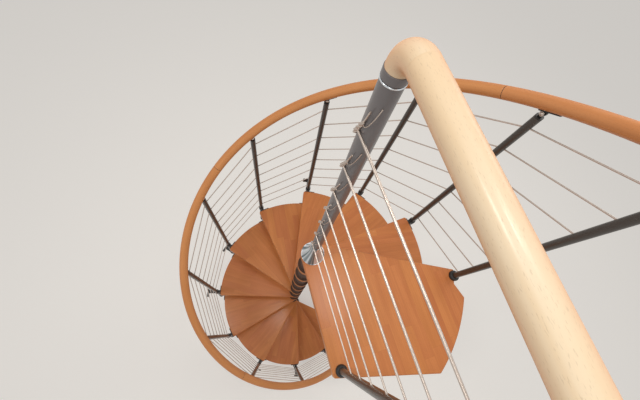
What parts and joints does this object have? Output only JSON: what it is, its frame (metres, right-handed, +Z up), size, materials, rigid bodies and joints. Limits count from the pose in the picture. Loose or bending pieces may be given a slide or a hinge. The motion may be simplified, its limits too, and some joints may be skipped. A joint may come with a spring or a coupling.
{
  "type": "spiral staircase with landing",
  "caption": "Spiral staircase with solid beech treads round a steel column, a landing, tube balusters, wire infill and a round beech handrail.",
  "frame": {"origin": "centre of the base plate's underside, on the column's axis", "axes": "+Z up the column, +X towards the baluster at the landing's front corner"},
  "size_m": [1.3738, 1.3864, 3.738],
  "materials": {
    "beech": "satin",
    "rail_beech": "satin",
    "grey_paint": "satin",
    "dark_paint": "satin",
    "bright_steel": "polished",
    "black_nylon": "matte",
    "wire_steel": "brushed"
  },
  "bodies": {
    "root": {"base_plate": "dark_paint", "centre_pole": "grey_paint", "hub_spacers": "grey_paint", "tread_01": "beech", "tread_02": "beech", "tread_03": "beech", "tread_04": "beech", "tread_05": "beech", "tread_06": "beech", "tread_07": "beech", "tread_08": "beech", "tread_09": "beech", "tread_10": "beech", "tread_11": "beech", "landing": "beech", "landing_brackets": "dark_paint", "balusters": "dark_paint", "baluster_clamps": "black_nylon", "wall_brackets": "black_nylon", "rail_saddles": "black_nylon", "wires_01": "wire_steel", "wires_02": "wire_steel", "wires_03": "wire_steel", "wires_04": "wire_steel", "wires_05": "wire_steel", "wires_06": "wire_steel", "wires_07": "wire_steel", "wires_08": "wire_steel", "wires_09": "wire_steel", "wires_10": "wire_steel", "wires_11": "wire_steel", "handrail_1": "rail_beech", "handrail_2": "rail_beech", "handrail_3": "rail_beech", "handrail_4": "rail_beech", "newel_post": "grey_paint", "newel_cone": "bright_steel", "newel_collar": "grey_paint", "rail_elbow": "rail_beech", "landing_handrail": "rail_beech", "corner_post": "dark_paint", "post_feet": "black_nylon", "landing_wires": "wire_steel"}
  },
  "joints": []
}
